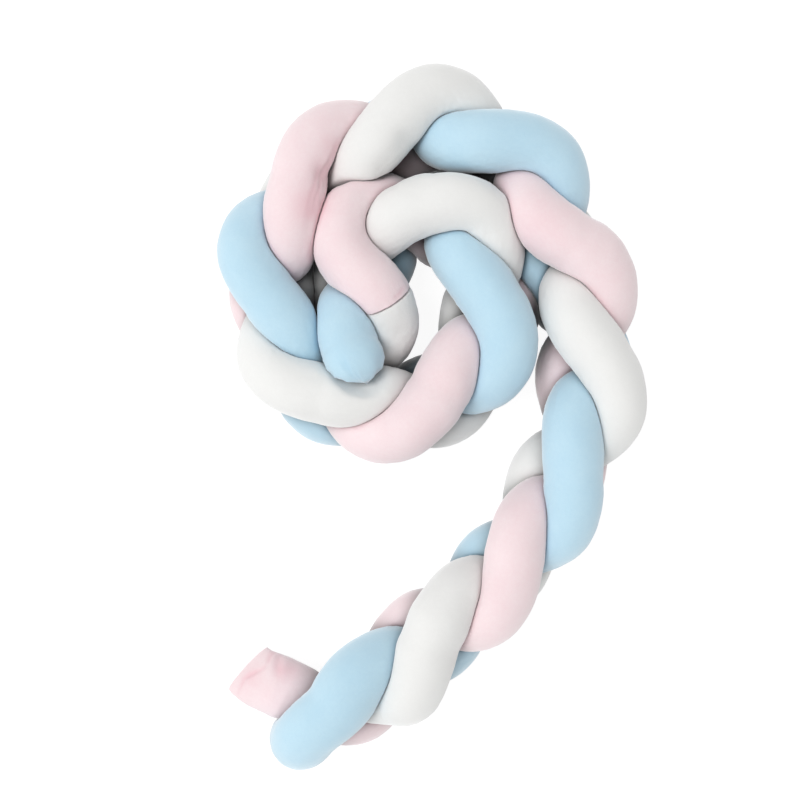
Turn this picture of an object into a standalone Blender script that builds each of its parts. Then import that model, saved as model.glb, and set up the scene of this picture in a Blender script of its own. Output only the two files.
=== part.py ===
"""Crib bumper: three long stuffed velour tubes, plaited and laid down in a loose coil with a tail.

The plait stands on its edge, so each fold of a tube shows once along the top and
lies once on the surface below. Each tube is one filled solid: a loft of rings along
its centreline, drawn in wherever a neighbour presses on it, and flat underneath
where it lies on the surface. Pink and white are sewn end to end at the inner end.

Metres, +Z up. The origin is the middle of the plait's outline, on the surface.
"""

from collections import namedtuple

import bpy
import numpy as np

NAME = "crib_bumper"

# sizes
TUBE_RADIUS = 0.0465      # a stuffed tube where nothing presses on it
RISE = 0.050              # how far a tube's centreline rises and falls in the plait
SWAY = 0.029              # how far it sways from side to side, twice as often
REST_HEIGHT = 0.0415      # centreline of a tube that lies on the surface
MIN_APART = 0.058         # nearest that two centrelines come where tubes press
MIDDLE = (-0.003, 0.005)  # plan middle of the outline, which becomes the origin
GAP = 0.0008              # left between tubes that press on each other
SEAM_GAP = 0.0004         # left between the sewn ends of pink and white
SIDES = 14                # points round a ring
RING_SPACING = 0.0325     # between rings
STEP = 0.012              # between points of a centreline
SHARP = 8.0               # how tightly a pressed section turns where it leaves its neighbour

COLOURS = {
    "pink": (0.86, 0.70, 0.72, 1.0),
    "white": (0.84, 0.84, 0.83, 1.0),
    "blue": (0.50, 0.72, 0.84, 1.0),
}

# the plait's upper edge in plan: a row for each fold of a tube that shows on top, and 5.6 for the bend between two
LOBES = (  # lobe, x, y (mm), lean (degrees, top away from the coil's middle), sway, drop (mm), girth
    (-1.0,  -70,   50,  0, 1.00,  0, 1.00),
    ( 0.0, -140,  140,  0, 1.00,  0, 1.00),
    ( 1.0, -148,  283,  0, 0.35,  0, 1.00),
    ( 2.0,   13,  351, -3, 0.85,  0, 1.06),
    ( 3.0,   94,  177, -2, 0.75,  0, 1.05),
    ( 4.0,   -2,   38,  0, 0.32,  0, 1.02),
    ( 5.0, -170,   42,  5, 0.20, 10, 1.00),
    ( 5.6, -245,  127,  7, 0.45,  4, 0.97),
    ( 6.0, -268,  208,  9, 0.50,  0, 0.98),
    ( 7.0, -216,  371, 11, 0.45,  0, 1.04),
    ( 8.0,  -58,  484, 13, 0.85,  0, 1.04),
    ( 9.0,  121,  448, 15, 1.00,  0, 1.03),
    (10.0,  223,  281, 13, 1.00,  0, 1.02),
    (11.0,  270,   92, 12, 0.60,  0, 1.01),
    (12.0,  221,  -88,  9, 0.42,  0, 0.98),
    (13.0,  123, -239,  5, 0.55,  0, 0.96),
    (14.0,   -4, -350, -1, 0.50,  0, 1.01),
    (15.0, -154, -459, -4, 0.75,  0, 1.07),
    (16.0, -310, -500, -6, 1.00,  0, 1.00),
)
FIRST_TOP = {"pink": 1.0, "white": 2.0, "blue": 3.0}

# the ends, which leave the plait's rule: x, y, z in mm
SEAM_FOLD = (  # from the pink tube's dive under white's first lobe, round the joint, to white's rise
    (  36,  306,  50),
    (   0,  326,  60),
    ( -38,  334,  78),
    ( -74,  338, 100),
    (-108,  340, 123),
    (-138,  320, 140),
    (-149,  280, 149),
    (-129,  236, 152),
    ( -90,  192, 146),   # the sewn joint
    ( -76,  154, 120),
    ( -86,  128,  94),
    (-118,  126,  70),
    (-146,  152,  60),
    (-154,  198,  58),
    (-146,  248,  66),
    (-118,  292,  86),
    ( -84,  328, 112),
    ( -44,  346, 132),
)
SEAM_AT = 8
BLUE_TIP = (
    (-110,   40, 170),
    (-130,   88, 163),
    (-140,  138, 150),
    (-138,  176, 132),
    (-118,  208, 100),
    ( -88,  240,  68),
    ( -62,  288,  52),
    ( -40,  336,  46),
    ( -12,  362,  54),
    (  12,  338,  72),
    (  18,  300,  96),
    (  34,  264, 118),
    (  62,  232, 134),
)
PINK_TAIL = (
    (-142, -474,  62),
    (-200, -450,  80),
    (-248, -428,  84),
    (-284, -414,  80),
    (-305, -398,  75),
)
BLUE_TAIL = (
    (-190, -490, 136),
    (-212, -514, 104),
    (-217, -520,  62),
    (-211, -514,  44),
)
WHITE_TAIL = (
    ( -40, -426, 112),
    ( -58, -438,  76),
    (-104, -443,  52),
    (-158, -451,  46),
)
# the length (mm) over which a tube closes: at its inner end, at its tail end
CLOSES = {"pink": (0.6, 5.0), "white": (0.6, 30.0), "blue": (44.0, 30.0)}
# the pink tube's tail end is sewn flat: mm from the end, half width, half thickness
FLAT_END = (
    (  0, 46.0,  8.0),
    ( 12, 47.0, 13.0),
    ( 30, 48.5, 25.0),
    ( 60, 50.5, 37.0),
    (100, 49.5, 43.0),
    (140, 46.5, 46.5),
)


# a centreline: its points, its girth at each as a share of TUBE_RADIUS, and that girth with the ends closed
Line = namedtuple("Line", "points girth share")


def spline(t, p):
    """The natural cubic spline through the rows of p at the knots t."""
    t = np.asarray(t, float)
    p = np.asarray(p, float)
    n, h = len(t), np.diff(t)
    a, b = np.eye(n), np.zeros((n, p.shape[1]))
    for i in range(1, n - 1):
        a[i, i-1:i+2] = h[i-1], 2*(h[i-1] + h[i]), h[i]
        b[i] = 6*((p[i+1] - p[i])/h[i] - (p[i] - p[i-1])/h[i-1])
    m = np.linalg.solve(a, b)

    def at(x):
        x = np.asarray(x, float)
        i = np.clip(np.searchsorted(t, x) - 1, 0, n - 2)
        lo, hi, w = (x - t[i])[:, None], (t[i+1] - x)[:, None], h[i][:, None]
        return ((m[i]*hi**3 + m[i+1]*lo**3)/(6*w)
                + (p[i]/w - m[i]*w/6)*hi + (p[i+1]/w - m[i+1]*w/6)*lo)
    return at


def lengths(p):
    """Distance along a line of points, from its first."""
    return np.concatenate([[0], np.cumsum(np.linalg.norm(np.diff(p, axis=0), axis=1))])


def even(points, step):
    """The smooth curve through points, at an even spacing of about step."""
    gaps = np.linalg.norm(np.diff(points[:, :3], axis=0), axis=1)
    knots = np.concatenate([[0], np.cumsum(np.sqrt(gaps))])
    fine = spline(knots, points)(np.linspace(0, knots[-1], 3000))
    s = lengths(fine[:, :3])
    want = np.linspace(0, s[-1], int(round(s[-1]/step)) + 1)
    return np.column_stack([np.interp(want, s, column) for column in fine.T])


def plait(name, u):
    """Where one tube's centreline runs at lobe numbers u, with its girth there."""
    rows = np.array(LOBES, float)*[1, 0.001, 0.001, np.pi/180, 1, 0.001, 1]
    route = spline(rows[:, 0], rows[:, 1:])
    here = route(u)
    d = route(u + 1e-3)[:, :2] - route(u - 1e-3)[:, :2]
    d /= np.linalg.norm(d, axis=1)[:, None]
    inner = np.column_stack([d[:, 1], -d[:, 0]])
    turn = np.pi/2 + 2*np.pi*(u - FIRST_TOP[name])/3
    up, side, lean = RISE*np.sin(turn), SWAY*here[:, 3]*np.sin(2*turn), here[:, 2]
    across = side*np.cos(lean) - (up - RISE)*np.sin(lean)
    z = REST_HEIGHT + RISE + up*np.cos(lean) + side*np.sin(lean) - here[:, 4]*np.clip(np.sin(turn), 0, 1)
    return np.column_stack([here[:, :2] + inner*across[:, None], z, here[:, 5]])


def mm(rows):
    return np.array(rows, float)*0.001


def free(rows):
    """A table of points in mm with full girth."""
    return np.column_stack([mm(rows), np.ones(len(rows))])


def strands():
    """The centrelines and girths before the tubes press on each other: pink and white are one run."""
    def part(name, first, last):
        return plait(name, np.arange(first, last + 0.01, 0.25))
    fold = free(SEAM_FOLD)
    pink = np.concatenate([fold[SEAM_AT::-1], part("pink", 2.35, 14.9), free(PINK_TAIL)])
    white = np.concatenate([fold[SEAM_AT + 1:], part("white", 2.0, 14.2), free(WHITE_TAIL)])
    blue = np.concatenate([free(BLUE_TIP), part("blue", 3.0, 15.0), free(BLUE_TAIL)])
    run = even(np.concatenate([pink[::-1], white]), STEP)
    seam = np.linalg.norm((run - fold[SEAM_AT])[:, :3], axis=1).argmin()
    return [run, even(blue, STEP)], seam


def settle(runs, shares, rounds=160):
    """Spreads the runs until they press no nearer than MIN_APART and none is under the surface."""
    base, share = np.concatenate(runs), np.concatenate(shares)
    n = len(base)
    which = np.repeat(range(len(runs)), [len(r) for r in runs])
    place = np.concatenate([np.arange(len(r)) for r in runs])
    far = np.linalg.norm(base[:, None] - base, axis=2)
    same = (which[:, None] == which) & (abs(place[:, None] - place)*STEP < 3.2*TUBE_RADIUS)
    i, j = np.nonzero((far < MIN_APART + 0.06) & ~same)
    near = MIN_APART*(share[i] + share[j])/2
    ends = np.cumsum([0] + [len(r) for r in runs])
    shift = np.zeros_like(base)
    for _ in range(rounds):
        d = (base + shift)[i] - (base + shift)[j]
        dist = np.sqrt((d*d).sum(1)) + 1e-9
        over = np.clip(near - dist, 0, None)
        pull = d*(over/dist)[:, None]
        push = np.column_stack([np.bincount(i, pull[:, c], n) for c in range(3)])
        worst = np.zeros(n)
        np.maximum.at(worst, i, over)
        size = np.sqrt((push**2).sum(1)) + 1e-12
        shift = (shift + 0.5*push*(np.minimum(worst, size)/size)[:, None])*0.992
        for a, b in zip(ends[:-1], ends[1:]):
            for _ in range(2):
                pad = np.pad(shift[a:b], ((1, 1), (0, 0)), mode="edge")
                shift[a:b] = 0.25*pad[:-2] + 0.5*pad[1:-1] + 0.25*pad[2:]
        shift[:, 2] += 0.6*np.clip(REST_HEIGHT - base[:, 2] - shift[:, 2], 0, None)
    return [(base + shift)[a:b] for a, b in zip(ends[:-1], ends[1:])]


def layout():
    """The settled lines, and for each tube its line and the stretch of it, inner end first."""
    found, seam = strands()
    closes = (CLOSES["pink"][1], CLOSES["white"][1]), CLOSES["blue"]
    s = [lengths(run[:, :3]) for run in found]
    shares = [run[:, 3]*closing(at, at[-1], ends) for run, at, ends in zip(found, s, closes)]
    points = settle([run[:, :3] for run in found], shares)
    lines = [Line(p - [MIDDLE[0], MIDDLE[1], 0], run[:, 3], share) for p, run, share in zip(points, found, shares)]
    s = [lengths(line.points) for line in lines]
    return lines, {"pink": (0, s[0][seam] - SEAM_GAP/2, 0.0),
                   "white": (0, s[0][seam] + SEAM_GAP/2, s[0][-1]),
                   "blue": (1, 0.0, s[1][-1])}


def frames(at, steps):
    """Two cross directions along a curve that don't turn about it. The first is square to the seam itself."""
    p = at(steps)
    way = np.sign(steps[-1] - steps[0])
    near = steps - way*SEAM_GAP/2
    t = (at(near + 1e-4) - at(near - 1e-4))*way
    t /= np.linalg.norm(t, axis=1)[:, None]
    n = np.zeros_like(t)
    n[0] = np.cross(t[0], [0, 0, 1.0])
    n[0] /= np.linalg.norm(n[0])
    for i in range(1, len(p)):
        v = p[i] - p[i-1]
        a = n[i-1] - 2*(v @ n[i-1])/(v @ v)*v
        b = t[i-1] - 2*(v @ t[i-1])/(v @ v)*v
        w = t[i] - b
        n[i] = a - 2*(w @ a)/max(w @ w, 1e-12)*w
        n[i] -= (n[i] @ t[i])*t[i]
        n[i] /= np.linalg.norm(n[i])
    return n, np.cross(t, n)


def reach(c, e, lines, own, at, gap):
    """How far each ray c + t e goes before it is nearer another stretch of tube than its own."""
    t = np.full(e.shape[:2], 9.0)
    mine = TUBE_RADIUS*np.interp(at, lengths(lines[own].points), lines[own].share)
    for k, line in enumerate(lines):
        s = lengths(line.points)
        for lo in range(0, len(c), 64):
            block = slice(lo, lo + 64)
            d = line.points[None] - c[block, None]
            dd = (d*d).sum(2)
            ok = dd < (4.2*TUBE_RADIUS)**2
            if k == own:
                ok &= abs(s[None] - at[block, None]) > 3.3*TUBE_RADIUS
            cols = np.nonzero(ok.any(0))[0]
            if len(cols):
                step = gap + TUBE_RADIUS*line.share[cols] - mine[block, None]
                f = np.einsum("ijk,ilk->ijl", e[block], d[:, cols]) + step[:, None]
                v = (dd[:, None, cols] - step[:, None]**2)/(2*np.where(f > 1e-6, f, 1e-6))
                v = np.where(ok[:, None, cols] & (f > 1e-6), np.clip(v, 0.001, 9), 9.0)
                t[block] = np.minimum(t[block], v.min(2))
    return t


def closing(s, total, closes):
    """Share of the full radius near the two ends."""
    f = np.ones_like(s)
    for d, length in ((s, closes[0]*0.001), (total - s, closes[1]*0.001)):
        q = np.clip(d/length, 0, 1)
        f *= np.sqrt(np.clip(1 - (1 - q)**2, 0, 1))
    return f


def outline(name, s, total, e, t):
    """The unpressed radius in each direction e, as a share of TUBE_RADIUS: a flat ellipse at the pink tail end."""
    if name != "pink":
        return np.ones(e.shape[:2])
    rows = mm(FLAT_END)
    wide = np.cross(t, [0, 0, 1.0])
    wide /= np.linalg.norm(wide, axis=1)[:, None]
    x = np.einsum("ijk,ik->ij", e, wide)
    half = [np.interp(total - s, rows[:, 0], rows[:, k])[:, None]/TUBE_RADIUS for k in (1, 2)]
    return 1/np.sqrt(x*x/half[0]**2 + (1 - x*x)/half[1]**2)


def tube(name, lines, places, sides, spacing, gap):
    """One stuffed tube pressed by the others: its rings of points, its two end points, where the rings are,
    and how hard each point is pressed (over 1 where a neighbour stops it)."""
    own, first, last = places[name]
    line, knots = lines[own].points, lengths(lines[own].points)
    total = abs(last - first)
    s = np.linspace(0, total, int(round(total/spacing)) + 1)
    for k, length in enumerate(CLOSES[name]):
        length *= 0.001
        turn = length*(1 - np.cos(np.linspace(0, np.pi/2, 5)[1:]))
        s = s[s > 1.3*length] if k == 0 else s[s < total - 1.3*length]
        s = np.sort(np.concatenate([s, turn if k == 0 else total - turn]))
    along = first + np.sign(last - first)*s
    at = spline(knots, line)
    c = at(along)
    steps = np.linspace(first, last, 12*len(line))
    n, b = frames(at, steps)
    pick = np.round(s/total*(len(steps) - 1)).astype(int)
    n, b = n[pick], b[pick]
    ang = np.linspace(0, 2*np.pi, sides, endpoint=False)[None, :, None]
    e = np.cos(ang)*n[:, None] + np.sin(ang)*b[:, None]
    far = reach(c, e, lines, own, along, gap)
    free_radius = TUBE_RADIUS*np.interp(along, knots, lines[own].girth)
    shape = outline(name, s, total, e, np.cross(n, b))
    full = free_radius.copy()
    for _ in range(4):
        r = ((full[:, None]*shape)**-SHARP + far**-SHARP)**(-1/SHARP)
        p = c[:, None] + r[..., None]*e
        now = np.linalg.norm(np.roll(p, -1, 1) - p, axis=2).sum(1)
        grown = full*2*sides*np.sin(np.pi/sides)*free_radius/now
        full = np.where(shape.min(1) < 0.98, free_radius, np.clip(grown, free_radius*0.98, free_radius*1.07))
        full = np.convolve(np.pad(full, 2, mode="edge"), [0.1, 0.2, 0.4, 0.2, 0.1], "valid")
    r = ((full[:, None]*shape)**-SHARP + far**-SHARP)**(-1/SHARP)*closing(s, total, CLOSES[name])[:, None]
    down = np.clip(-e[..., 2], 1e-9, None)
    r = np.where(e[..., 2] < -1e-6, np.minimum(r, c[:, None, 2]/down), r)
    return c[:, None] + r[..., None]*e, at(np.array([first, last])), along, full[:, None]*shape/far


def loft_faces(rings, sides):
    """Triangles of a closed loft: rings of points, then the two end points."""
    f = []
    for i in range(rings - 1):
        for j in range(sides):
            k = (j + 1) % sides
            a, b, c, d = i*sides + j, i*sides + k, (i + 1)*sides + k, (i + 1)*sides + j
            f += [(a, b, c), (a, c, d)]
    n = rings*sides
    for j in range(sides):
        k = (j + 1) % sides
        f += [(n, k, j), (n + 1, n - sides + j, n - sides + k)]
    return np.array(f)


def too_near(x, lines, own, at, gap):
    """How much deeper points x are in another stretch of tube than in their own."""
    mine, other = np.full(len(x), 9.0), np.full(len(x), 9.0)
    for k, line in enumerate(lines):
        s = lengths(line.points)
        for lo in range(0, len(x), 1000):
            block = slice(lo, lo + 1000)
            d = np.linalg.norm(x[block, None] - line.points[None], axis=2) - TUBE_RADIUS*line.share
            if k == own:
                away = abs(s[None] - at[block, None]) > 3.3*TUBE_RADIUS
                mine[block] = np.where(away, 9.0, d).min(1)
                d = np.where(away, d, 9.0)
            other[block] = np.minimum(other[block], d.min(1))
    return mine - other + gap


def draw_in(p, ends, along, lines, own, gap, rounds=14):
    """Draws a coarse loft in where its flat faces would cut across the half-way surface to a neighbour."""
    rings, sides = p.shape[:2]
    faces = loft_faces(rings, sides)
    c = spline(lengths(lines[own].points), lines[own].points)(along)
    arc = np.concatenate([np.repeat(along, sides), along[[0, -1]]])
    r = np.linalg.norm(p - c[:, None], axis=2)
    e = (p - c[:, None])/r[..., None]
    weights = np.array([(1/3, 1/3, 1/3), (.5, .5, 0), (0, .5, .5), (.5, 0, .5), (.7, .15, .15), (.15, .7, .15), (.15, .15, .7)])
    watch = np.ones(len(faces), bool)
    for _ in range(rounds):
        v = np.concatenate([(c[:, None] + r[..., None]*e).reshape(-1, 3), ends])
        f = faces[watch]
        x = np.einsum("wk,fkc->wfc", weights, v[f]).reshape(-1, 3)
        bad = too_near(x, lines, own, (weights @ arc[f].T).reshape(-1), gap).reshape(len(weights), -1).max(0)
        if bad.max() <= 0:
            break
        less = np.zeros(len(v))
        for k in range(3):
            np.maximum.at(less, f[:, k], np.clip(bad, 0, None))
        r = r - 0.55*less[:-2].reshape(rings, sides)
        watch[np.nonzero(watch)[0][bad < -0.004]] = False
    return c[:, None] + r[..., None]*e


def material(name, colour):
    """Soft matte cloth of one colour."""
    made = bpy.data.materials.new(name)
    made.use_nodes = True
    made.diffuse_color = colour
    shader = made.node_tree.nodes["Principled BSDF"]
    shader.inputs["Base Color"].default_value = colour
    shader.inputs["Roughness"].default_value = 0.95
    shader.inputs["Metallic"].default_value = 0.0
    shader.inputs["Sheen Weight"].default_value = 0.3
    return made


def main():
    for old in list(bpy.data.objects):
        bpy.data.objects.remove(old, do_unlink=True)
    scene = bpy.context.scene
    scene.unit_settings.system = "METRIC"
    scene.unit_settings.scale_length = 1.0
    group = bpy.data.collections.new(NAME)
    scene.collection.children.link(group)

    lines, places = layout()
    for name, (own, _, _) in places.items():
        rings, ends, along, _ = tube(name, lines, places, SIDES, RING_SPACING, GAP)
        rings = draw_in(rings, ends, along, lines, own, GAP)
        points = np.concatenate([rings.reshape(-1, 3), ends])
        mesh = bpy.data.meshes.new("tube_" + name)
        mesh.from_pydata(points.tolist(), [], loft_faces(len(rings), SIDES).tolist())
        mesh.validate()
        mesh.shade_smooth()
        mesh.materials.append(material("velour_" + name, COLOURS[name]))
        group.objects.link(bpy.data.objects.new("tube_" + name, mesh))


main()
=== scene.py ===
"""Crib bumper: three long stuffed velour tubes, plaited and laid down in a loose coil with a tail.

Each tube is drawn finely along the same centreline as its solid, pressed in where a
neighbour lies against it, and then given the small relief of sewn, stuffed velour.

Metres, +Z up. The origin is the middle of the plait's outline, on the surface.
"""

from collections import namedtuple

import bpy
import numpy as np
from mathutils import Matrix, Vector
from mathutils.bvhtree import BVHTree


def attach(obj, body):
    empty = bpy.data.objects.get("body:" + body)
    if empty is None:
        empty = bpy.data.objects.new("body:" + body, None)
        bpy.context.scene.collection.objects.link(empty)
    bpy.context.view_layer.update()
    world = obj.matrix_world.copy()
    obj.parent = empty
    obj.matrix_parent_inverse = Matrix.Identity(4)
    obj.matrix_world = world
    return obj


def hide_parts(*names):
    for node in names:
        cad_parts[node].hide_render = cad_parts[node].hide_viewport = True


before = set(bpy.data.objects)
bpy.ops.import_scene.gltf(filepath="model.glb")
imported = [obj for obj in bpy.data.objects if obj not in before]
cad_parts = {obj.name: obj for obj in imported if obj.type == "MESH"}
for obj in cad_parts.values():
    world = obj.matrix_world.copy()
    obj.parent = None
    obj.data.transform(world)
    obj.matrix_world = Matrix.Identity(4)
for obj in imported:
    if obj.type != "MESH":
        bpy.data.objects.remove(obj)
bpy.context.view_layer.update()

# sizes
TUBE_RADIUS = 0.0465      # a stuffed tube where nothing presses on it
RISE = 0.050              # how far a tube's centreline rises and falls in the plait
SWAY = 0.029              # how far it sways from side to side, twice as often
REST_HEIGHT = 0.0415      # centreline of a tube that lies on the surface
MIN_APART = 0.058         # nearest that two centrelines come where tubes press
MIDDLE = (-0.003, 0.005)  # plan middle of the outline, which becomes the origin
SEAM_GAP = 0.0004         # left between the sewn ends of pink and white
STEP = 0.012              # between points of a centreline

# the plait's upper edge in plan: a row for each fold of a tube that shows on top, and 5.6 for the bend between two
LOBES = (  # lobe, x, y (mm), lean (degrees, top away from the coil's middle), sway, drop (mm), girth
    (-1.0,  -70,   50,  0, 1.00,  0, 1.00),
    ( 0.0, -140,  140,  0, 1.00,  0, 1.00),
    ( 1.0, -148,  283,  0, 0.35,  0, 1.00),
    ( 2.0,   13,  351, -3, 0.85,  0, 1.06),
    ( 3.0,   94,  177, -2, 0.75,  0, 1.05),
    ( 4.0,   -2,   38,  0, 0.32,  0, 1.02),
    ( 5.0, -170,   42,  5, 0.20, 10, 1.00),
    ( 5.6, -245,  127,  7, 0.45,  4, 0.97),
    ( 6.0, -268,  208,  9, 0.50,  0, 0.98),
    ( 7.0, -216,  371, 11, 0.45,  0, 1.04),
    ( 8.0,  -58,  484, 13, 0.85,  0, 1.04),
    ( 9.0,  121,  448, 15, 1.00,  0, 1.03),
    (10.0,  223,  281, 13, 1.00,  0, 1.02),
    (11.0,  270,   92, 12, 0.60,  0, 1.01),
    (12.0,  221,  -88,  9, 0.42,  0, 0.98),
    (13.0,  123, -239,  5, 0.55,  0, 0.96),
    (14.0,   -4, -350, -1, 0.50,  0, 1.01),
    (15.0, -154, -459, -4, 0.75,  0, 1.07),
    (16.0, -310, -500, -6, 1.00,  0, 1.00),
)
FIRST_TOP = {"pink": 1.0, "white": 2.0, "blue": 3.0}

# the ends, which leave the plait's rule: x, y, z in mm
SEAM_FOLD = (  # from the pink tube's dive under white's first lobe, round the joint, to white's rise
    (  36,  306,  50),
    (   0,  326,  60),
    ( -38,  334,  78),
    ( -74,  338, 100),
    (-108,  340, 123),
    (-138,  320, 140),
    (-149,  280, 149),
    (-129,  236, 152),
    ( -90,  192, 146),   # the sewn joint
    ( -76,  154, 120),
    ( -86,  128,  94),
    (-118,  126,  70),
    (-146,  152,  60),
    (-154,  198,  58),
    (-146,  248,  66),
    (-118,  292,  86),
    ( -84,  328, 112),
    ( -44,  346, 132),
)
SEAM_AT = 8
BLUE_TIP = (
    (-110,   40, 170),
    (-130,   88, 163),
    (-140,  138, 150),
    (-138,  176, 132),
    (-118,  208, 100),
    ( -88,  240,  68),
    ( -62,  288,  52),
    ( -40,  336,  46),
    ( -12,  362,  54),
    (  12,  338,  72),
    (  18,  300,  96),
    (  34,  264, 118),
    (  62,  232, 134),
)
PINK_TAIL = (
    (-142, -474,  62),
    (-200, -450,  80),
    (-248, -428,  84),
    (-284, -414,  80),
    (-305, -398,  75),
)
BLUE_TAIL = (
    (-190, -490, 136),
    (-212, -514, 104),
    (-217, -520,  62),
    (-211, -514,  44),
)
WHITE_TAIL = (
    ( -40, -426, 112),
    ( -58, -438,  76),
    (-104, -443,  52),
    (-158, -451,  46),
)
# the length (mm) over which a tube closes: at its inner end, at its tail end
CLOSES = {"pink": (0.6, 5.0), "white": (0.6, 30.0), "blue": (44.0, 30.0)}
# the pink tube's tail end is sewn flat: mm from the end, half width, half thickness
FLAT_END = (
    (  0, 46.0,  8.0),
    ( 12, 47.0, 13.0),
    ( 30, 48.5, 25.0),
    ( 60, 50.5, 37.0),
    (100, 49.5, 43.0),
    (140, 46.5, 46.5),
)


# a centreline: its points, its girth at each as a share of TUBE_RADIUS, and that girth with the ends closed
Line = namedtuple("Line", "points girth share")


def spline(t, p):
    """The natural cubic spline through the rows of p at the knots t."""
    t = np.asarray(t, float)
    p = np.asarray(p, float)
    n, h = len(t), np.diff(t)
    a, b = np.eye(n), np.zeros((n, p.shape[1]))
    for i in range(1, n - 1):
        a[i, i-1:i+2] = h[i-1], 2*(h[i-1] + h[i]), h[i]
        b[i] = 6*((p[i+1] - p[i])/h[i] - (p[i] - p[i-1])/h[i-1])
    m = np.linalg.solve(a, b)

    def at(x):
        x = np.asarray(x, float)
        i = np.clip(np.searchsorted(t, x) - 1, 0, n - 2)
        lo, hi, w = (x - t[i])[:, None], (t[i+1] - x)[:, None], h[i][:, None]
        return ((m[i]*hi**3 + m[i+1]*lo**3)/(6*w)
                + (p[i]/w - m[i]*w/6)*hi + (p[i+1]/w - m[i+1]*w/6)*lo)
    return at


def lengths(p):
    """Distance along a line of points, from its first."""
    return np.concatenate([[0], np.cumsum(np.linalg.norm(np.diff(p, axis=0), axis=1))])


def even(points, step):
    """The smooth curve through points, at an even spacing of about step."""
    gaps = np.linalg.norm(np.diff(points[:, :3], axis=0), axis=1)
    knots = np.concatenate([[0], np.cumsum(np.sqrt(gaps))])
    fine = spline(knots, points)(np.linspace(0, knots[-1], 3000))
    s = lengths(fine[:, :3])
    want = np.linspace(0, s[-1], int(round(s[-1]/step)) + 1)
    return np.column_stack([np.interp(want, s, column) for column in fine.T])


def plait(name, u):
    """Where one tube's centreline runs at lobe numbers u, with its girth there."""
    rows = np.array(LOBES, float)*[1, 0.001, 0.001, np.pi/180, 1, 0.001, 1]
    route = spline(rows[:, 0], rows[:, 1:])
    here = route(u)
    d = route(u + 1e-3)[:, :2] - route(u - 1e-3)[:, :2]
    d /= np.linalg.norm(d, axis=1)[:, None]
    inner = np.column_stack([d[:, 1], -d[:, 0]])
    turn = np.pi/2 + 2*np.pi*(u - FIRST_TOP[name])/3
    up, side, lean = RISE*np.sin(turn), SWAY*here[:, 3]*np.sin(2*turn), here[:, 2]
    across = side*np.cos(lean) - (up - RISE)*np.sin(lean)
    z = REST_HEIGHT + RISE + up*np.cos(lean) + side*np.sin(lean) - here[:, 4]*np.clip(np.sin(turn), 0, 1)
    return np.column_stack([here[:, :2] + inner*across[:, None], z, here[:, 5]])


def mm(rows):
    return np.array(rows, float)*0.001


def free(rows):
    """A table of points in mm with full girth."""
    return np.column_stack([mm(rows), np.ones(len(rows))])


def strands():
    """The centrelines and girths before the tubes press on each other: pink and white are one run."""
    def part(name, first, last):
        return plait(name, np.arange(first, last + 0.01, 0.25))
    fold = free(SEAM_FOLD)
    pink = np.concatenate([fold[SEAM_AT::-1], part("pink", 2.35, 14.9), free(PINK_TAIL)])
    white = np.concatenate([fold[SEAM_AT + 1:], part("white", 2.0, 14.2), free(WHITE_TAIL)])
    blue = np.concatenate([free(BLUE_TIP), part("blue", 3.0, 15.0), free(BLUE_TAIL)])
    run = even(np.concatenate([pink[::-1], white]), STEP)
    seam = np.linalg.norm((run - fold[SEAM_AT])[:, :3], axis=1).argmin()
    return [run, even(blue, STEP)], seam


def settle(runs, shares, rounds=160):
    """Spreads the runs until they press no nearer than MIN_APART and none is under the surface."""
    base, share = np.concatenate(runs), np.concatenate(shares)
    n = len(base)
    which = np.repeat(range(len(runs)), [len(r) for r in runs])
    place = np.concatenate([np.arange(len(r)) for r in runs])
    far = np.linalg.norm(base[:, None] - base, axis=2)
    same = (which[:, None] == which) & (abs(place[:, None] - place)*STEP < 3.2*TUBE_RADIUS)
    i, j = np.nonzero((far < MIN_APART + 0.06) & ~same)
    near = MIN_APART*(share[i] + share[j])/2
    ends = np.cumsum([0] + [len(r) for r in runs])
    shift = np.zeros_like(base)
    for _ in range(rounds):
        d = (base + shift)[i] - (base + shift)[j]
        dist = np.sqrt((d*d).sum(1)) + 1e-9
        over = np.clip(near - dist, 0, None)
        pull = d*(over/dist)[:, None]
        push = np.column_stack([np.bincount(i, pull[:, c], n) for c in range(3)])
        worst = np.zeros(n)
        np.maximum.at(worst, i, over)
        size = np.sqrt((push**2).sum(1)) + 1e-12
        shift = (shift + 0.5*push*(np.minimum(worst, size)/size)[:, None])*0.992
        for a, b in zip(ends[:-1], ends[1:]):
            for _ in range(2):
                pad = np.pad(shift[a:b], ((1, 1), (0, 0)), mode="edge")
                shift[a:b] = 0.25*pad[:-2] + 0.5*pad[1:-1] + 0.25*pad[2:]
        shift[:, 2] += 0.6*np.clip(REST_HEIGHT - base[:, 2] - shift[:, 2], 0, None)
    return [(base + shift)[a:b] for a, b in zip(ends[:-1], ends[1:])]


def layout():
    """The settled lines, and for each tube its line and the stretch of it, inner end first."""
    found, seam = strands()
    closes = (CLOSES["pink"][1], CLOSES["white"][1]), CLOSES["blue"]
    s = [lengths(run[:, :3]) for run in found]
    shares = [run[:, 3]*closing(at, at[-1], ends) for run, at, ends in zip(found, s, closes)]
    points = settle([run[:, :3] for run in found], shares)
    lines = [Line(p - [MIDDLE[0], MIDDLE[1], 0], run[:, 3], share) for p, run, share in zip(points, found, shares)]
    s = [lengths(line.points) for line in lines]
    return lines, {"pink": (0, s[0][seam] - SEAM_GAP/2, 0.0),
                   "white": (0, s[0][seam] + SEAM_GAP/2, s[0][-1]),
                   "blue": (1, 0.0, s[1][-1])}


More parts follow.
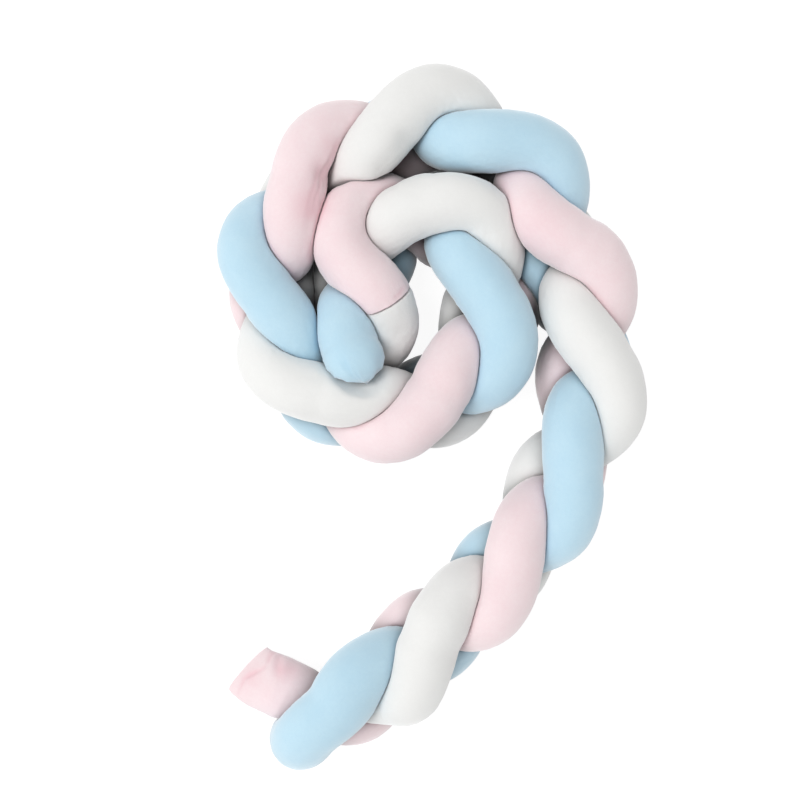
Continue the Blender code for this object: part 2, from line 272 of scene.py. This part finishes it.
def frames(at, steps):
    """Two cross directions along a curve that don't turn about it. The first is square to the seam itself."""
    p = at(steps)
    way = np.sign(steps[-1] - steps[0])
    near = steps - way*SEAM_GAP/2
    t = (at(near + 1e-4) - at(near - 1e-4))*way
    t /= np.linalg.norm(t, axis=1)[:, None]
    n = np.zeros_like(t)
    n[0] = np.cross(t[0], [0, 0, 1.0])
    n[0] /= np.linalg.norm(n[0])
    for i in range(1, len(p)):
        v = p[i] - p[i-1]
        a = n[i-1] - 2*(v @ n[i-1])/(v @ v)*v
        b = t[i-1] - 2*(v @ t[i-1])/(v @ v)*v
        w = t[i] - b
        n[i] = a - 2*(w @ a)/max(w @ w, 1e-12)*w
        n[i] -= (n[i] @ t[i])*t[i]
        n[i] /= np.linalg.norm(n[i])
    return n, np.cross(t, n)


def reach(c, e, lines, own, at, gap):
    """How far each ray c + t e goes before it is nearer another stretch of tube than its own."""
    t = np.full(e.shape[:2], 9.0)
    mine = TUBE_RADIUS*np.interp(at, lengths(lines[own].points), lines[own].share)
    for k, line in enumerate(lines):
        s = lengths(line.points)
        for lo in range(0, len(c), 64):
            block = slice(lo, lo + 64)
            d = line.points[None] - c[block, None]
            dd = (d*d).sum(2)
            ok = dd < (4.2*TUBE_RADIUS)**2
            if k == own:
                ok &= abs(s[None] - at[block, None]) > 3.3*TUBE_RADIUS
            cols = np.nonzero(ok.any(0))[0]
            if len(cols):
                step = gap + TUBE_RADIUS*line.share[cols] - mine[block, None]
                f = np.einsum("ijk,ilk->ijl", e[block], d[:, cols]) + step[:, None]
                v = (dd[:, None, cols] - step[:, None]**2)/(2*np.where(f > 1e-6, f, 1e-6))
                v = np.where(ok[:, None, cols] & (f > 1e-6), np.clip(v, 0.001, 9), 9.0)
                t[block] = np.minimum(t[block], v.min(2))
    return t


def closing(s, total, closes):
    """Share of the full radius near the two ends."""
    f = np.ones_like(s)
    for d, length in ((s, closes[0]*0.001), (total - s, closes[1]*0.001)):
        q = np.clip(d/length, 0, 1)
        f *= np.sqrt(np.clip(1 - (1 - q)**2, 0, 1))
    return f


def outline(name, s, total, e, t):
    """The unpressed radius in each direction e, as a share of TUBE_RADIUS: a flat ellipse at the pink tail end."""
    if name != "pink":
        return np.ones(e.shape[:2])
    rows = mm(FLAT_END)
    wide = np.cross(t, [0, 0, 1.0])
    wide /= np.linalg.norm(wide, axis=1)[:, None]
    x = np.einsum("ijk,ik->ij", e, wide)
    half = [np.interp(total - s, rows[:, 0], rows[:, k])[:, None]/TUBE_RADIUS for k in (1, 2)]
    return 1/np.sqrt(x*x/half[0]**2 + (1 - x*x)/half[1]**2)


def tube(name, lines, places, sides, gap):
    """One stuffed tube pressed by the others: its rings of points, its two end points, where the rings are,
    and how hard each point is pressed (over 1 where a neighbour stops it)."""
    own, first, last = places[name]
    line, knots = lines[own].points, lengths(lines[own].points)
    total = abs(last - first)
    s = ring_places(name, total)
    for k, length in enumerate(CLOSES[name]):
        length *= 0.001
        turn = length*(1 - np.cos(np.linspace(0, np.pi/2, 5)[1:]))
        s = s[s > 1.3*length] if k == 0 else s[s < total - 1.3*length]
        s = np.sort(np.concatenate([s, turn if k == 0 else total - turn]))
    along = first + np.sign(last - first)*s
    at = spline(knots, line)
    c = at(along)
    steps = np.linspace(first, last, 12*len(line))
    n, b = frames(at, steps)
    pick = np.round(s/total*(len(steps) - 1)).astype(int)
    n, b = n[pick], b[pick]
    ang = np.linspace(0, 2*np.pi, sides, endpoint=False)[None, :, None]
    e = np.cos(ang)*n[:, None] + np.sin(ang)*b[:, None]
    far = reach(c, e, lines, own, along, gap)
    free_radius = TUBE_RADIUS*np.interp(along, knots, lines[own].girth)
    shape = outline(name, s, total, e, np.cross(n, b))
    full = free_radius.copy()
    for _ in range(4):
        r = ((full[:, None]*shape)**-SHARP + far**-SHARP)**(-1/SHARP)
        p = c[:, None] + r[..., None]*e
        now = np.linalg.norm(np.roll(p, -1, 1) - p, axis=2).sum(1)
        grown = full*2*sides*np.sin(np.pi/sides)*free_radius/now
        full = np.where(shape.min(1) < 0.98, free_radius, np.clip(grown, free_radius*0.98, free_radius*1.07))
        full = np.convolve(np.pad(full, 2, mode="edge"), [0.1, 0.2, 0.4, 0.2, 0.1], "valid")
    r = ((full[:, None]*shape)**-SHARP + far**-SHARP)**(-1/SHARP)*closing(s, total, CLOSES[name])[:, None]
    down = np.clip(-e[..., 2], 1e-9, None)
    r = np.where(e[..., 2] < -1e-6, np.minimum(r, c[:, None, 2]/down), r)
    return c[:, None] + r[..., None]*e, at(np.array([first, last])), along, full[:, None]*shape/far


def loft_faces(rings, sides):
    """Triangles of a closed loft: rings of points, then the two end points."""
    f = []
    for i in range(rings - 1):
        for j in range(sides):
            k = (j + 1) % sides
            a, b, c, d = i*sides + j, i*sides + k, (i + 1)*sides + k, (i + 1)*sides + j
            f += [(a, b, c), (a, c, d)]
    n = rings*sides
    for j in range(sides):
        k = (j + 1) % sides
        f += [(n, k, j), (n + 1, n - sides + j, n - sides + k)]
    return np.array(f)

# ---------------------------------------------------------------- fine shape

FINE_SIDES = 108
FINE_SPACING = 0.0048
CLOSE_SPACING = 0.0020    # rings near an end that shows
FINE_GAP = 0.0006
SHARP = 18.0              # the cloth turns more tightly than the solid where it leaves a neighbour

# how much of each tube has close rings (m): from its inner end, from its tail end
CLOSE_RINGS = {"pink": (0.06, 0.08), "white": (0.05, 0.0), "blue": (0.10, 0.0)}

Crease = namedtuple("Crease", "tube width depth lowest points")

CREASES = (  # half width, depth and lowest height in mm, then x, y along it in mm
    # the long pinches where the third pink fold is squeezed by white
    Crease("pink", 2.6, 1.8, 120, ((-150, 438), (-158, 418), (-170, 386), (-181, 350), (-190, 318))),
    Crease("pink", 3.4, 1.3, 120, ((-154, 420), (-164, 394), (-170, 366))),
    Crease("pink", 4.0, 1.2, 120, ((-176, 392), (-188, 352), (-196, 312))),
    # a tuck beside the sewn joint, and the dimple below it
    Crease("pink", 2.4, 1.3, 130, ((-62, 184), (-52, 192), (-45, 204))),
    Crease("white", 11.0, 1.6, 110, ((-52, 146), (-46, 132))),
    # the hand-stitched corner of the blue tip
    Crease("blue", 2.0, 2.8, 110, ((-140, 78), (-130, 78), (-121, 66), (-116, 62))),
    Crease("blue", 2.2, 2.4, 110, ((-140, 78), (-134, 66), (-122, 60))),
    Crease("blue", 3.4, 1.2, 110, ((-130, 96), (-138, 80))),
    Crease("blue", 5.0, 1.2, 110, ((-108, 88), (-112, 70))),
    # the pink tail end: the seam of its flat flap, and the flap's corner fold
    Crease("pink", 2.8, 2.6, 50, ((-313, -447), (-308, -436), (-304, -426), (-292, -418), (-276, -409), (-266, -400))),
    Crease("pink", 4.0, 1.6, 50, ((-266, -400), (-262, -388), (-252, -380))),
    Crease("pink", 7.0, 1.6, 50, ((-250, -384), (-248, -402), (-246, -420))),
)

Give = namedtuple("Give", "tube size depth lowest points")

GIVES = (  # where a fold gives more than its neighbour presses it, or bulges (depth below 0): as for a crease
    Give("pink", 17, 9.0, 60, ((-168, 381), (-152, 384))),
    Give("white", 17, 8.0, 80, ((4, 402), (34, 402), (68, 395), (112, 372))),
    Give("white", 20, 7.0, 100, ((-74, 388), (-52, 410), (-38, 432))),
    Give("pink", 22, -4.5, 60, ((278, 308), (292, 279))),
)

ShadeBlush = namedtuple("ShadeBlush", "tube x y size amount")

SHADE_BLUSHES = (  # where the colour goes deeper, for pressed pile and for painted shade on shaded sides and along folds: place and size in mm
    ShadeBlush("pink", -172, 385, 24, 0.55),
    ShadeBlush("pink", -192, 330, 26, 0.75),
    ShadeBlush("pink", -160, 425, 18, 0.45),
    ShadeBlush("pink", -292, -420, 16, 0.45),
    ShadeBlush("pink", -232, -408, 16, 0.50),
    ShadeBlush("pink", 168, 300, 40, 0.25),
    ShadeBlush("blue", -106, 78, 22, -0.30),
)


ShadeSpot = namedtuple("ShadeSpot", "x y size top share")

SHADE_SPOTS = (  # painted shade: darker colour in deep gaps that the folds round them close in: place, size and highest point in mm, then how much darker
    ShadeSpot(-46, 420, 36, 158, 0.85),
    ShadeSpot(14, 414, 32, 150, 0.85),
    ShadeSpot(80, 404, 32, 150, 0.80),
    ShadeSpot(119, 384, 22, 150, 0.70),
    ShadeSpot(-48, 244, 22, 140, 0.40),
    ShadeSpot(-41, 70, 20, 140, 0.40),
)


def waves(x, seed, count, longest, shortest):
    """Smooth random relief from -1 to 1: a sum of plane waves."""
    random = np.random.default_rng(seed)
    total = np.zeros(len(x))
    for _ in range(count):
        k = random.normal(size=3)
        k *= 2*np.pi/np.linalg.norm(k)/np.exp(random.uniform(np.log(shortest), np.log(longest)))
        total += np.sin(x @ k + random.uniform(0, 2*np.pi))
    return total/np.sqrt(2*count)


def smooth(x, low, high):
    t = np.clip((x - low)/(high - low), 0, 1)
    return t*t*(3 - 2*t)


def ring_places(name, total):
    """Where the fine rings are along a tube: closer near an end that shows."""
    found = [0.0]
    while found[-1] < total - 0.6*CLOSE_SPACING:
        at = found[-1]
        near = at < CLOSE_RINGS[name][0] or total - at < CLOSE_RINGS[name][1]
        found.append(at + (CLOSE_SPACING if near else FINE_SPACING))
    return np.array(found)*total/found[-1]


def normals_of(points, faces):
    a, b, c = (points[faces[:, k]] for k in range(3))
    n = np.cross(b - a, c - a)
    total = np.column_stack([sum(np.bincount(faces[:, k], n[:, axis], len(points)) for k in range(3)) for axis in range(3)])
    return total/(np.linalg.norm(total, axis=1)[:, None] + 1e-12)


def from_line(xy, line):
    """Distance from a polyline in plan, and how far along it from 0 to 1."""
    best, where = np.full(len(xy), 9.0), np.zeros(len(xy))
    s = lengths(line)
    for a, b, s0, s1 in zip(line[:-1], line[1:], s[:-1], s[1:]):
        t = np.clip(((xy - a) @ (b - a))/((b - a) @ (b - a)), 0, 1)
        d = np.linalg.norm(xy - a - t[:, None]*(b - a), axis=1)
        better = d < best
        best[better], where[better] = d[better], ((s0 + t*(s1 - s0))/s[-1])[better]
    return best, where


def creased(name, points, normals):
    """The dents of the creases in metres, and how deep in one each point is from 0 to 1."""
    dent, inside = np.zeros(len(points)), np.zeros(len(points))
    for crease in CREASES:
        line = mm(crease.points)
        near = (np.abs(points[:, :2] - line.mean(0)).max(1) < 0.12) & (crease.tube == name)
        near &= (points[:, 2] > 0.001*crease.lowest) & (normals[:, 2] > 0.05)
        if not near.any():
            continue
        d, where = from_line(points[near, :2], line)
        q = d/(0.001*crease.width)
        fade = np.sin(np.pi*np.clip(where, 0.02, 0.98))**0.4*smooth(normals[near, 2], 0.05, 0.3)
        dent[near] += 0.001*crease.depth*fade*(np.exp(-q*q) - 0.40*np.exp(-(q/2.6)**2))
        inside[near] = np.maximum(inside[near], fade*np.exp(-(q/1.3)**2))
    for give in GIVES:
        if give.tube == name:
            d, _ = from_line(points[:, :2], mm(give.points))
            dent += 0.001*give.depth*np.exp(-(d/(0.001*give.size))**2)*smooth(
                points[:, 2], 0.001*give.lowest, 0.001*give.lowest + 0.03)
    return dent, inside


def gathered(name, s, angle):
    """Small tucks round the sewn ends: metres inward."""
    dent = np.zeros_like(s)
    if name == "blue":
        fold = 0.5 + 0.5*np.cos(9*angle + 1.4*np.sin(2*angle))
        dent += 0.0010*fold*smooth(s, 0.0, 0.008)*np.exp(-(s/0.020)**2)
    else:
        tucks = 0.5 + 0.5*np.cos(23*angle + 2.1*np.sin(3*angle) + 1.3*np.sin(5*angle))
        dent += 0.0004*np.exp(-(s/0.0030)**2)
        dent += (0.0005 if name == "pink" else 0.0003)*tucks*np.exp(-(s/0.010)**2)
    return dent


Shape = namedtuple("Shape", "points faces deep")


def shaped(name, lines, places, number):
    """The fine surface of one tube, and how far its colour goes to the deeper colour: pressed pile, and painted shade
    where a neighbour presses and in the creases.
    """
    rings, ends, along, press = tube(name, lines, places, FINE_SIDES, FINE_GAP)
    faces = loft_faces(len(rings), FINE_SIDES)
    points = np.concatenate([rings.reshape(-1, 3), ends])
    normals = normals_of(points, faces)
    press = np.concatenate([press.reshape(-1), [1, 1]])
    s = np.repeat(np.abs(along - places[name][1]), FINE_SIDES)
    s = np.concatenate([s, [0, s[-1]]])
    angle = np.concatenate([np.tile(np.arange(FINE_SIDES)*2*np.pi/FINE_SIDES, len(rings)), [0, 0]])

    loose = 1 - smooth(press, 0.70, 0.96)
    border = smooth(press, 0.45, 0.80)*(1 - smooth(press, 0.88, 0.99))
    lift = 0.0011*waves(points, 10 + number, 16, 0.18, 0.06)*loose
    lift += 0.00022*waves(points, 20 + number, 24, 0.040, 0.016)*loose
    lift += 0.00045*waves(points, 30 + number, 24, 0.024, 0.010)*border
    dent, inside = creased(name, points, normals)
    lift -= dent + gathered(name, s, angle)
    lift *= smooth(points[:, 2], 0.0, 0.02)
    points = points + normals*lift[:, None]

    # pressed pile and painted shade: the colour deepens where a neighbour presses and along the crease valleys
    deep = 0.32*smooth(press, 0.80, 1.05) + 0.5*inside
    # painted shade spots with pressed pile: the colour deepens round each, and an amount below 0 takes some of the
    # deeper colour away
    for spot in SHADE_BLUSHES:
        if spot.tube == name:
            d = np.linalg.norm(points[:, :2] - mm([spot.x, spot.y]), axis=1)/(0.001*spot.size)
            deep += spot.amount*np.exp(-d*d)*smooth(points[:, 2], 0.06, 0.10)
    return Shape(points, faces, np.clip(deep, 0, 1))


def sky(points, everything):
    """How much of the sky each point sees over the folds round it, from 0 to 1. Cloth nearer than 14 mm is
    left out."""
    cell, margin = 0.005, 0.15
    low = everything[:, :2].min(0) - margin
    size = np.ceil((everything[:, :2].max(0) + margin - low)/cell).astype(int)
    height = np.zeros(size)
    at = ((everything[:, :2] - low)/cell).astype(int)
    np.maximum.at(height, (at[:, 0], at[:, 1]), everything[:, 2])
    for axis in (0, 1):
        height = np.maximum(height, np.maximum(np.roll(height, 1, axis), np.roll(height, -1, axis)))
    seen = np.zeros(len(points))
    for way in np.linspace(0, 2*np.pi, 16, endpoint=False):
        rise = np.zeros(len(points))
        for far in (0.014, 0.020, 0.028, 0.038, 0.052, 0.070, 0.095, 0.125):
            there = ((points[:, :2] + far*np.array([np.cos(way), np.sin(way)]) - low)/cell).astype(int)
            rise = np.maximum(rise, (height[there[:, 0], there[:, 1]] - points[:, 2])/far)
        seen += 1/(1 + rise*rise)/16
    return seen


def cleared(shapes, apart=0.0004, rounds=3):
    """The tubes, drawn in where the fine surfaces of two of them come nearer to each other than `apart`."""
    for _ in range(rounds):
        trees = {name: BVHTree.FromPolygons(shape.points.tolist(), shape.faces.tolist())
                 for name, shape in shapes.items()}
        for name, shape in shapes.items():
            short = np.zeros(len(shape.points))
            for other, tree in trees.items():
                if other == name:
                    continue
                for i, point in enumerate(shape.points.tolist()):
                    place, normal, _, _ = tree.find_nearest(point, 0.004)
                    if place is not None:
                        short[i] = max(short[i], apart - (Vector(point) - place).dot(normal))
            wide = short.copy()
            grid = wide[:-2].reshape(-1, FINE_SIDES)
            np.maximum(grid, 0.6*np.maximum(np.roll(grid, 1, 1), np.roll(grid, -1, 1)), out=grid)
            move = normals_of(shape.points, shape.faces)*(0.6*wide)[:, None]
            shapes[name] = shape._replace(points=shape.points - move)
    return shapes


def evened(values, times=12):
    """The same values spread over about 13 mm along a tube and 8 mm round it."""
    grid = values[:-2].reshape(-1, FINE_SIDES)
    for _ in range(times):
        grid = (np.roll(grid, 1, 1) + grid + np.roll(grid, -1, 1))/3
        longer = np.concatenate([grid[:1], grid, grid[-1:]])
        grid = (longer[:-2] + grid + longer[2:])/3
    return np.concatenate([grid.reshape(-1), [grid[0].mean(), grid[-1].mean()]])


def painted_spot_shade(points):
    # painted shade: how much of the colour is left at each point, darker in the shade spots below their highest point
    share = np.ones(len(points))
    for dim in SHADE_SPOTS:
        d = np.linalg.norm(points[:, :2] - mm([dim.x, dim.y]), axis=1)/(0.001*dim.size)
        share *= 1 - dim.share*np.exp(-d*d)*(1 - smooth(points[:, 2], 0.001*dim.top - 0.03, 0.001*dim.top))
    return share


def build(name, shape, painted_gap_shade):
    mesh = bpy.data.meshes.new("tube_" + name)
    mesh.from_pydata(shape.points.tolist(), [], shape.faces.tolist())
    mesh.shade_smooth()
    # the deeper colour and the painted gap shade, kept on the mesh for its material
    for key, values in (("deep", shape.deep), ("painted_gap_shade", painted_gap_shade)):
        mesh.attributes.new(key, "FLOAT", "POINT").data.foreach_set("value", values.astype(np.float32))
    made = bpy.data.objects.new("velour_tube_" + name, mesh)
    bpy.context.scene.collection.objects.link(made)
    made.data.materials.append(velour(name))
    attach(made, "root")
    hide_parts("tube_" + name)


# ---------------------------------------------------------------- cloth

VELOUR = {  # linear colours of the pile brushed up, and of it pressed flat; the second also paints the shade at contacts, in creases and at the shade blushes
    "pink": ((0.885, 0.755, 0.770), (0.83, 0.57, 0.61)),
    "white": ((0.835, 0.835, 0.82), (0.77, 0.765, 0.75)),
    "blue": ((0.535, 0.735, 0.845), (0.38, 0.61, 0.77)),
}


def ranged(tree, source, low, high, to_low, to_high):
    made = tree.nodes.new("ShaderNodeMapRange")
    for socket, value in zip(("From Min", "From Max", "To Min", "To Max"), (low, high, to_low, to_high)):
        made.inputs[socket].default_value = value
    tree.links.new(source, made.inputs["Value"])
    return made.outputs["Result"]


def summed(tree, sources):
    total = sources[0]
    for source in sources[1:]:
        add = tree.nodes.new("ShaderNodeMath")
        add.operation = "ADD"
        tree.links.new(total, add.inputs[0])
        tree.links.new(source, add.inputs[1])
        total = add.outputs[0]
    return total


def mixed(tree, kind, share, first, second):
    mix = tree.nodes.new("ShaderNodeMix")
    mix.data_type = "RGBA"
    mix.blend_type = kind
    mix.clamp_factor = True
    for socket, value in ((0, share), (6, first), (7, second)):
        if hasattr(value, "links"):
            tree.links.new(value, mix.inputs[socket])
        else:
            mix.inputs[socket].default_value = value
    return mix.outputs[2]


def velour(name):
    """Short dense pile: a matt cloth with a soft sheen, a fine grain and faintly brushed patches. Its colour also
    holds painted shade at contacts, in creases and in the deep gaps.
    """
    made = bpy.data.materials.new("velour_" + name)
    made.use_nodes = True
    tree = made.node_tree
    shader = tree.nodes["Principled BSDF"]
    shader.inputs["Roughness"].default_value = 0.95
    shader.inputs["Specular IOR Level"].default_value = 0.1
    shader.inputs["Sheen Weight"].default_value = 0.70
    shader.inputs["Sheen Roughness"].default_value = 0.50
    place = tree.nodes.new("ShaderNodeTexCoord")

    def noise(scale, detail):
        found = tree.nodes.new("ShaderNodeTexNoise")
        found.inputs["Scale"].default_value = scale
        found.inputs["Detail"].default_value = detail
        tree.links.new(place.outputs["Object"], found.inputs["Vector"])
        return found.outputs["Fac"]

    pile, nap, patches = noise(900.0, 2.0), noise(170.0, 2.0), noise(24.0, 2.0)
    # painted shade with pressed pile: the deeper colour where tubes press, in creases and at the shade blushes
    pressed_pile_and_shade = tree.nodes.new("ShaderNodeAttribute")
    pressed_pile_and_shade.attribute_name = "deep"
    share = summed(tree, [
        ranged(tree, patches, 0.30, 0.70, 0.0, 0.16),
        ranged(tree, nap, 0.30, 0.70, 0.0, 0.10),
        ranged(tree, pile, 0.30, 0.70, 0.0, 0.16),
        pressed_pile_and_shade.outputs["Fac"],
    ])
    light, deep = VELOUR[name]
    cloth = mixed(tree, "MIX", share, (*light, 1), (*deep, 1))
    # painted shade: the colour is darkened in the deep gaps between folds, where little light comes back out
    gap = tree.nodes.new("ShaderNodeAttribute")
    gap.attribute_name = "painted_gap_shade"
    cloth = mixed(tree, "MULTIPLY", 1.0, cloth, gap.outputs["Fac"])
    tree.links.new(cloth, shader.inputs["Base Color"])

    fine = tree.nodes.new("ShaderNodeBump")
    fine.inputs["Strength"].default_value = 0.35
    fine.inputs["Distance"].default_value = 0.0004
    tree.links.new(pile, fine.inputs["Height"])
    soft = tree.nodes.new("ShaderNodeBump")
    soft.inputs["Strength"].default_value = 0.30
    soft.inputs["Distance"].default_value = 0.0012
    tree.links.new(nap, soft.inputs["Height"])
    tree.links.new(fine.outputs["Normal"], soft.inputs["Normal"])
    tree.links.new(soft.outputs["Normal"], shader.inputs["Normal"])
    return made


# ---------------------------------------------------------------- setting

def floor():
    mesh = bpy.data.meshes.new("floor")
    mesh.from_pydata([(-6, -6, 0), (6, -6, 0), (6, 6, 0), (-6, 6, 0)], [], [(0, 1, 2, 3)])
    made = bpy.data.objects.new("floor", mesh)
    bpy.context.scene.collection.objects.link(made)
    made.location.z = -0.0005
    paper = bpy.data.materials.new("floor")
    paper.use_nodes = True
    tree = paper.node_tree
    shader = tree.nodes["Principled BSDF"]
    shader.inputs["Base Color"].default_value = (0.22, 0.22, 0.22, 1)
    shader.inputs["Roughness"].default_value = 1.0
    shader.inputs["Specular IOR Level"].default_value = 0.0
    shader.inputs["Emission Color"].default_value = (1, 1, 1, 1)
    shader.inputs["Emission Strength"].default_value = 0.92
    made.data.materials.append(paper)


def light(name, place, strength, spread):
    """A far soft light: where it comes from, its strength and how many degrees wide it looks."""
    data = bpy.data.lights.new(name, "SUN")
    data.energy = strength
    data.angle = np.radians(spread)
    made = bpy.data.objects.new(name, data)
    bpy.context.scene.collection.objects.link(made)
    made.location = place
    made.rotation_euler = Vector(place).to_track_quat("Z", "Y").to_euler()


def setting():
    floor()
    world = bpy.data.worlds.new("studio")
    world.use_nodes = True
    world.node_tree.nodes["Background"].inputs["Color"].default_value = (1, 1, 1, 1)
    world.node_tree.nodes["Background"].inputs["Strength"].default_value = 0.52
    bpy.context.scene.world = world
    light("key", (-1.45, 0.10, 3.0), 1.66, 30)
    light("side", (-1.6, -2.4, 1.6), 0.30, 40)

    data = bpy.data.cameras.new("camera")
    data.sensor_width = 36
    data.lens = 59.06
    data.clip_start = 0.05
    made = bpy.data.objects.new("camera", data)
    bpy.context.scene.collection.objects.link(made)
    aim = np.array([-0.0544 - MIDDLE[0], 0.032 - MIDDLE[1], 0.145])
    tilt, turn, away = np.radians(2), np.radians(-110), 2.1
    back = np.array([np.sin(tilt)*np.cos(turn), np.sin(tilt)*np.sin(turn), np.cos(tilt)])
    right = np.cross(-back, [0, 1, 0])
    right /= np.linalg.norm(right)
    up = np.cross(back, right)
    made.matrix_world = Matrix([[right[k], up[k], back[k], aim[k] + away*back[k]] for k in range(3)] + [[0, 0, 0, 1]])
    bpy.context.scene.camera = made
    bpy.context.scene.view_settings.view_transform = "Standard"


def main():
    setting()
    lines, places = layout()
    shapes = {name: shaped(name, lines, places, number) for number, name in enumerate(places)}
    shapes = cleared(shapes)
    everything = np.concatenate([shape.points for shape in shapes.values()])
    for name, shape in shapes.items():
        # painted shade: the colour darkens where the folds round a point hide the sky, and further at the shade spots
        painted_gap_shade = (0.05 + 0.95*smooth(sky(shape.points, everything), 0.04, 0.15))*painted_spot_shade(shape.points)
        build(name, shape, evened(painted_gap_shade))


main()
